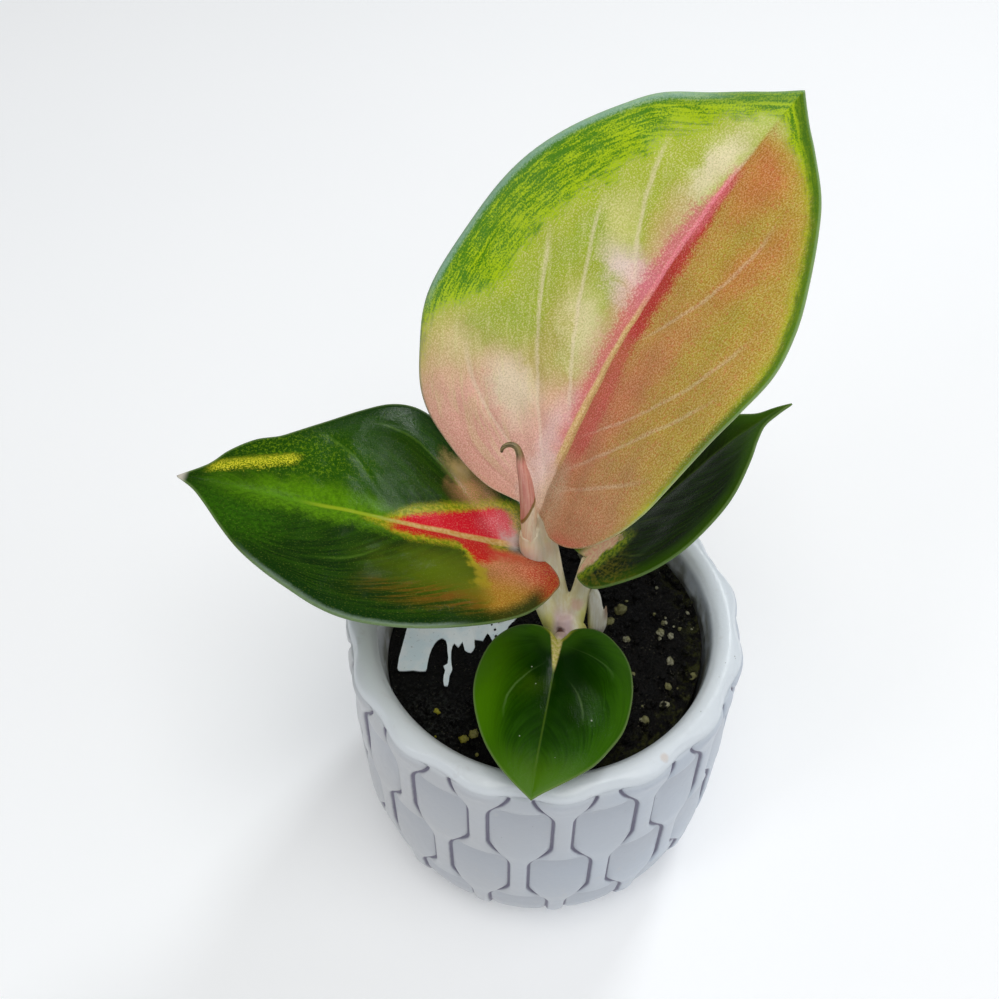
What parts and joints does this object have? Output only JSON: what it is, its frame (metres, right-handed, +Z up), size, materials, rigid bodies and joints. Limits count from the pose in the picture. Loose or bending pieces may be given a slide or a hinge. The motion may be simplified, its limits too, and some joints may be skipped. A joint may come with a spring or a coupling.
{
  "type": "potted red dragon aglaonema",
  "caption": "Young broad-leaved aroid plant with pink, red and green blades on short pale stalks, rooted in dark soil in a round white pot with a woven relief.",
  "frame": {"origin": "centre of the pot's flat foot", "axes": "+Z up along the pot's axis, -Y towards the small front leaf, -X towards the left leaf"},
  "size_m": [0.1692, 0.141, 0.2382],
  "materials": {
    "pot": "satin",
    "soil": "matte",
    "stem": "satin",
    "leaf_big": "satin",
    "leaf_left": "satin",
    "leaf_right": "satin",
    "leaf_front": "satin",
    "new_leaf": "satin",
    "side_shoot": "satin"
  },
  "bodies": {
    "root": {"pot": "pot", "soil": "soil", "stem": "stem", "leaf_big": "leaf_big", "leaf_left": "leaf_left", "leaf_right": "leaf_right", "leaf_front": "leaf_front", "new_leaf": "new_leaf", "side_shoot": "side_shoot"}
  },
  "joints": []
}
